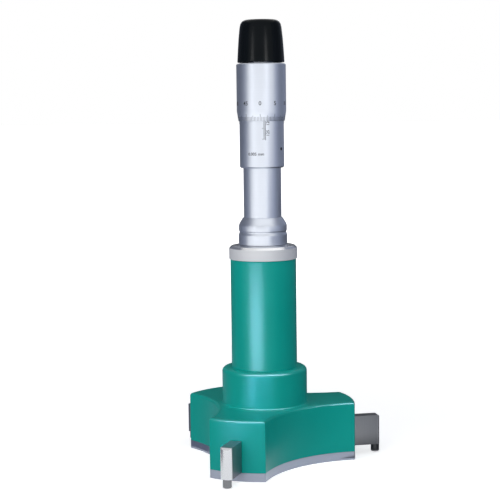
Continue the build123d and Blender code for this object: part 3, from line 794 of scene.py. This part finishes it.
class MICROMETER_OT_sleeve(bpy.types.Operator):
    """Turn the scale sleeve, with its spanner hole, and ink its millimetre scale"""

    bl_idname = "micrometer.sleeve"
    bl_label = "Scale sleeve"

    def execute(self, context):
        piece = turned_piece("scale_sleeve", "head", "satin_chrome", sizes().turned_rounding)
        deselect()
        radius, height = HOLE_PLACE
        bpy.ops.mesh.primitive_cylinder_add(
            vertices=32, radius=HOLE_RADIUS, depth=HOLE_DEPTH,
            location=(radius * cos(HOLE_ANGLE), radius * sin(HOLE_ANGLE), height), rotation=(0, pi / 2, HOLE_ANGLE),
        )
        # Painted shade: the spanner hole's walls take the oiled black steel's finish, so that the hole looks dark
        cut(piece, bpy.context.object, "black_oxide_and_hole_shade")
        smooth(piece)

        width = marks().line_width
        index = flat_strip(width, (TRAVEL + 1) * MM, 1)
        turn_flat(index, pi / 2, (0, INDEX_FOOT * MM, 0))
        short = flat_strip(width, SHORT_LINE * MM, 3)
        repeat(short, int(TRAVEL / PITCH) + 1, (0, PITCH * MM, 0))
        long = flat_strip(width, LONG_LINE * MM, 3)
        repeat(long, TRAVEL // NUMBERED_STEP + 1, (0, NUMBERED_STEP * MM, 0))
        for lines in (short, long):
            turn_flat(lines, pi, (0, TRAVEL * MM, 0))
        numbers = []
        across, above = NUMBER_PLACE
        for rise in range(0, TRAVEL, NUMBERED_STEP):
            number = flat_text(str(LARGEST_BORE - rise), NUMBER_HEIGHT * MM)
            turn_flat(number, pi / 2, (across * MM, (rise + above) * MM, 0))
            numbers.append(number)
        scale = join("sleeve_scale", [index, short, long, *numbers])
        wrap(scale, marks().index_angle, SCALE_FOOT * MM, lambda height: SLEEVE_RADIUS * MM)
        dress(scale, "head", "dial_ink")

        value = flat_text("0.005 mm", NUMBER_HEIGHT * MM)
        wrap(value, VALUE_ANGLE, VALUE_HEIGHT * MM, lambda height: SLEEVE_RADIUS * MM)
        value.name = "sleeve_graduation_value"
        dress(value, "head", "dial_ink")
        return {"FINISHED"}


def thimble_radius(height):
    """Radius of the thimble and its bevel at a height."""
    return THIMBLE_RADIUS - max(0.0, BEVEL_TOP - height) / BEVEL_SLOPE


class MICROMETER_OT_thimble(bpy.types.Operator):
    """Turn the thimble, and ink its hundred graduations and their numbers"""

    bl_idname = "micrometer.thimble"
    bl_label = "Thimble"

    def execute(self, context):
        turned_piece("thimble", "thimble", "satin_chrome", sizes().turned_rounding)
        rows = []
        for count, length in DIAL_ROWS:
            tick = flat_strip(marks().line_width, length, 1)
            turn_flat(tick, pi / 2)
            repeat(tick, count, (2 * pi * THIMBLE_RIM / count, 0, 0))
            rows.append(tick)
        dial = join("thimble_graduations", rows)
        for point in dial.data.vertices:
            x, y, z = point.co
            turn = marks().zero_angle + x / THIMBLE_RIM
            radius = thimble_radius(THIMBLE_FOOT + y) + z
            point.co = (radius * cos(turn), radius * sin(turn), DIAL_FOOT + y)
        dial.data.update()
        dress(dial, "thimble", "dial_ink")

        numbers = []
        for step in range(DIAL_NUMBERS):
            number = flat_text(str(DIAL_NUMBER_STEP * step), marks().numeral)
            wrap(number, marks().zero_angle + step * 2 * pi / DIAL_NUMBERS, DIAL_NUMBER_HEIGHT, thimble_radius)
            numbers.append(number)
        dress(join("thimble_numbers", numbers), "thimble", "dial_ink")
        return {"FINISHED"}


class MICROMETER_OT_cap(bpy.types.Operator):
    """Mould the ratchet cap, with the keyways for its clutch"""

    bl_idname = "micrometer.cap"
    bl_label = "Ratchet cap"

    def execute(self, context):
        piece = turned_piece("ratchet_cap", "ratchet", "cap_plastic", sizes().cap_rounding)
        middle = (0, 0, KEYWAY_HEIGHT)
        for turn in range(KEYWAYS):
            deselect()
            bpy.ops.mesh.primitive_cube_add(size=1, location=middle)
            keyway = bpy.context.object
            bpy.ops.transform.resize(value=KEYWAY_SIZE, center_override=middle)
            bpy.ops.transform.translate(value=(KEYWAY_RADIUS, 0, 0))
            bpy.ops.transform.rotate(value=-turn * 2 * pi / KEYWAYS, orient_axis="Z", center_override=(0, 0, 0))
            bpy.ops.object.transform_apply(location=True, rotation=True, scale=True)
            cut(piece, keyway, "cap_plastic")
        smooth(piece)
        return {"FINISHED"}


class MICROMETER_OT_mechanism(bpy.types.Operator):
    """Finish the pieces inside: cone, rod, springs, spindle and ratchet"""

    bl_idname = "micrometer.mechanism"
    bl_label = "Mechanism"

    def execute(self, context):
        refinish(
            "hardened_steel", "measuring_cone", "cone_rod", "rod_cap", "contact_ball", "spindle", "ratchet_clutch"
        )
        wheel = merged_copy("ratchet_wheel", "ratchet_wheel_toothed")
        for point in wheel.data.vertices:
            if point.co.z > TEETH_FOOT:
                radius = point.co.xy.length
                relieved = min(max(radius, TEETH_INNER), TEETH_OUTER) / radius
                point.co = (point.co.x * relieved, point.co.y * relieved, point.co.z)
        dress(wheel, "thimble", "hardened_steel", "ratchet_wheel")
        refinish("bush_bronze", "guide_bush")
        refinish("satin_chrome", "adjusting_nut")
        refinish("black_oxide_and_hole_shade", "ratchet_screw")
        refinish("spring_wire", "ratchet_spring")
        sprung("cone_spring")
        for side, angle in ANVIL_ANGLES.items():
            sprung(f"anvil_spring_{side}")
        return {"FINISHED"}


class MICROMETER_OT_studio(bpy.types.Operator):
    """Lay the floor, set up the cards and lights, and place the camera"""

    bl_idname = "micrometer.studio"
    bl_label = "Studio"

    # Upright cards: name, start and end in degrees from the camera's side, level, foot and top
    CARDS = (
        ("left_low", -158, -76, 0.08, 0.001, 0.07),
        ("left_middle", -158, -112, 0.2, 0.07, 0.125),
        ("left_soft", -112, -80, 0.42, 0.07, 0.125),
        ("left_high", -158, -92, 0.15, 0.125, 0.5),
        ("left_edge", -92, -64, 0.27, 0.125, 0.5),
        ("right_low", 38, 152, 0.08, 0.001, 0.07),
        ("right_front", 25, 45, 0.8, 0.07, 0.125),
        ("right_soft", 45, 80, 0.74, 0.07, 0.125),
        ("right_middle", 80, 105, 0.38, 0.07, 0.125),
        ("right_side", 105, 152, 0.13, 0.07, 0.125),
        ("right_edge", 62, 82, 0.42, 0.125, 0.5),
        ("right_high", 82, 120, 0.22, 0.125, 0.5),
        ("right_far", 120, 152, 0.3, 0.125, 0.5),
        ("back_left", 194, 202, 0.1, 0.08, 0.24),
        ("back_right", 152, 166, 0.1, 0.08, 0.24),
        ("back_low", 152, 202, 0.01, 0.001, 0.08),
        ("back_middle", 166, 194, 0.01, 0.08, 0.2),
        ("back_high", 166, 194, 0.35, 0.2, 0.3),
    )
    # Cards flat on the floor: name, start, end, level, and their inner edge as a share of their radius
    FLOOR_CARDS = (
        ("back", 80, 200, 0.04, 0.06),
        ("side", 200, 285, 0.3, 0.06),
        ("left", 285, 312, 0.12, 0.25),
        ("right", 25, 80, 0.2, 0.27),
    )
    # Highlights: name, side in degrees, distance, height, size, height of their aim, colour, pieces
    HIGHLIGHTS = (
        ("tube_light", -26, 0.15, 0.045, (0.115, 0.065), 0.045, (1.45, 0.82, 1.08), ("grip_tube_turned",)),
        ("hub_light", -8, 0.15, 0.045, (0.14, 0.04), 0.045, (0.7, 1.0, 1.5), ("head_casting",)),
        ("arm_light", -37, 0.26, 0.022, (0.12, 0.028), 0.028, (0.75, 0.8, 1.2), ("head_casting",)),
        ("edge_light", 4, 0.4, 0.8, (1.8, 0.3), 0.1, (1, 1, 1), ("head_casting", "grip_tube_turned")),
        ("shoulder_light", 25, 0.35, 0.8, (1.7, 0.8), 0.1, (1, 1, 1), ("clamp_nut_turned", "tube_collar_turned")),
    )
    # Upright lights for the dial and the cap: name, side in degrees, width
    UPRIGHTS = (("left", -42, 0.05), ("right", 25, 0.07))

    def execute(self, context):
        self.floor()
        self.world(context)
        for name, start, end, level, foot, top in self.CARDS:
            self.card(f"card_{name}", start, end, level * studio().cards, foot, top)
        for name, start, end, level, reach in self.FLOOR_CARDS:
            self.card(f"floor_card_{name}", start, end, level, reach=reach)
        key = self.lamp("key_light", studio().key, -28, 1.0, 0.5, (1.2, 0.9), 0.1)
        key.visible_glossy = False
        for name, side, distance, height, size, aim, colour, pieces in self.HIGHLIGHTS:
            lamp = self.lamp(name, getattr(studio(), name), side, distance, height, size, aim, pieces)
            lamp.data.color = colour
            lamp.visible_diffuse = False
        for name, side, width in self.UPRIGHTS:
            placing = (side, 0.8, 0.24, (width, 0.2), 0.2)
            self.lamp(f"dial_light_{name}", studio().dial_light, *placing)
            self.lamp(f"cap_light_{name}", studio().cap_light, *placing, ("ratchet_cap_turned",))
        self.camera(context)
        return {"FINISHED"}

    def floor(self):
        deselect()
        bpy.ops.mesh.primitive_plane_add(size=40)
        floor = bpy.context.object
        floor.name = "floor"
        pale = Finish("pale_floor", 0.9)
        far = pale.node("ShaderNodeVectorMath", {"operation": "LENGTH"}, (pale.place,), output="Value")
        fade = pale.node("ShaderNodeMapRange", {"interpolation_type": "SMOOTHSTEP"}, {
            "Value": far, "From Min": 0.1, "From Max": 0.5, "To Min": studio().floor_lift, "To Max": 1.0,
        })
        pale.wear(
            Base_Color=(*studio().floor, 1.0),
            Emission_Color=pale.blend(pale.seen() * fade, (0, 0, 0), (1, 1, 1)),
            Emission_Strength=1.0,
        )
        floor.data.materials.append(pale.material)

    def card(self, name, start, end, level, foot=0.001, top=0.0, reach=1.0):
        """A bent dark card beside the object, upright, or flat on the floor where it has no top."""
        deselect()
        bpy.ops.mesh.primitive_circle_add(vertices=180, radius=CARD_RADIUS, fill_type="NOTHING", location=(0, 0, foot))
        card = bpy.context.object
        card.name = name
        bpy.ops.object.transform_apply(location=True, rotation=True, scale=True)
        bpy.ops.object.mode_set(mode="EDIT")
        bpy.ops.mesh.select_all(action="SELECT")
        bpy.ops.mesh.extrude_edges_move(TRANSFORM_OT_translate={"value": (0, 0, max(0.0, top - foot))})
        if not top:
            bpy.ops.transform.resize(value=(reach, reach, 1), center_override=(0, 0, 0))
        bpy.ops.mesh.select_all(action="DESELECT")
        bpy.ops.object.mode_set(mode="OBJECT")
        middle, half = studio().view_angle + radians((start + end) / 2), radians((end - start) / 2)
        for face in card.data.polygons:
            across = cos(middle) * face.center.x + sin(middle) * face.center.y
            face.select = across < cos(half) * face.center.xy.length
        bpy.ops.object.mode_set(mode="EDIT")
        bpy.ops.mesh.delete(type="FACE")
        bpy.ops.object.mode_set(mode="OBJECT")
        dark = Finish(name, 0.8)
        dark.wear(
            Base_Color=(0.03, 0.03, 0.03, 1),
            Emission_Color=(*shade(CARD_TINT, level), 1),
            Emission_Strength=1.0,
        )
        card.data.materials.append(dark.material)
        card.visible_camera = False
        card.visible_shadow = False
        card.visible_diffuse = bool(top)

    def world(self, context):
        world = bpy.data.worlds.new("white_room")
        world.use_nodes = True
        room = Graph(world.node_tree)
        background = room.tree.nodes["Background"]
        background.inputs["Color"].default_value = (1, 1, 1, 1)
        room.set(background.inputs["Strength"], room.node("ShaderNodeMapRange", values={
            "Value": room.seen(), "To Min": studio().surround, "To Max": 1.0,
        }))
        context.scene.world = world

    def lamp(self, name, level, side, distance, height, size, aim, pieces=()):
        """A soft light that a mirror would show at a level. It lights some pieces alone, or all."""
        deselect()
        angle = studio().view_angle + radians(side)
        place = Vector((distance * cos(angle), distance * sin(angle), height))
        bpy.ops.object.light_add(type="AREA", location=place)
        lamp = bpy.context.object
        lamp.name = name
        lamp.rotation_euler = (Vector((0, 0, aim)) - place).to_track_quat("-Z", "Y").to_euler()
        lamp.data.shape = "RECTANGLE"
        lamp.data.size, lamp.data.size_y = size
        lamp.data.energy = level * pi * size[0] * size[1]
        lamp.visible_camera = False
        if pieces:
            lamp.light_linking.receiver_collection = bpy.data.collections.new(name)
            for piece in pieces:
                lamp.light_linking.receiver_collection.objects.link(bpy.data.objects[piece])
        return lamp

    def camera(self, context):
        deselect()
        bpy.ops.object.camera_add(
            location=(0.203938, -0.618896, 0.169644),
            rotation=(radians(84.20427), radians(0.73333), radians(18.72602)),
        )
        camera = bpy.context.object
        camera.data.sensor_width = 36
        camera.data.lens = 96.8658
        camera.data.clip_start = 0.05
        context.scene.camera = camera
        context.scene.view_settings.view_transform = "Standard"


class MICROMETER_PT_panel(bpy.types.Panel):
    """Lists the micrometer's pieces and its stage"""

    bl_idname = "MICROMETER_PT_panel"
    bl_label = "Micrometer"
    bl_space_type = "VIEW_3D"
    bl_region_type = "UI"
    bl_category = "Micrometer"

    def draw(self, context):
        for group in (sizes(), colours(), marks(), studio()):
            box = self.layout.box()
            for key in group.bl_rna.properties.keys():
                if key not in ("rna_type", "name"):
                    box.prop(group, key)
        for step in STEPS:
            self.layout.operator(step.bl_idname)


GROUPS = {
    "micrometer_modelling": MicrometerModelling,
    "micrometer_finishes": MicrometerFinishes,
    "micrometer_marks": MicrometerMarks,
    "micrometer_studio": MicrometerStudio,
}
STEPS = (
    MICROMETER_OT_head,
    MICROMETER_OT_cover,
    MICROMETER_OT_anvils,
    MICROMETER_OT_tube,
    MICROMETER_OT_collar,
    MICROMETER_OT_barrel,
    MICROMETER_OT_sleeve,
    MICROMETER_OT_thimble,
    MICROMETER_OT_cap,
    MICROMETER_OT_mechanism,
    MICROMETER_OT_studio,
)


def register():
    for kind in (*GROUPS.values(), *STEPS, MICROMETER_PT_panel):
        bpy.utils.register_class(kind)
    for name, group in GROUPS.items():
        setattr(bpy.types.Scene, name, PointerProperty(type=group))


def unregister():
    for name in GROUPS:
        delattr(bpy.types.Scene, name)
    for kind in (MICROMETER_PT_panel, *reversed(STEPS), *reversed(GROUPS.values())):
        bpy.utils.unregister_class(kind)


def main():
    register()
    for step in STEPS:
        getattr(bpy.ops.micrometer, step.bl_idname.split(".")[1])()


if __name__ == "__main__":
    main()
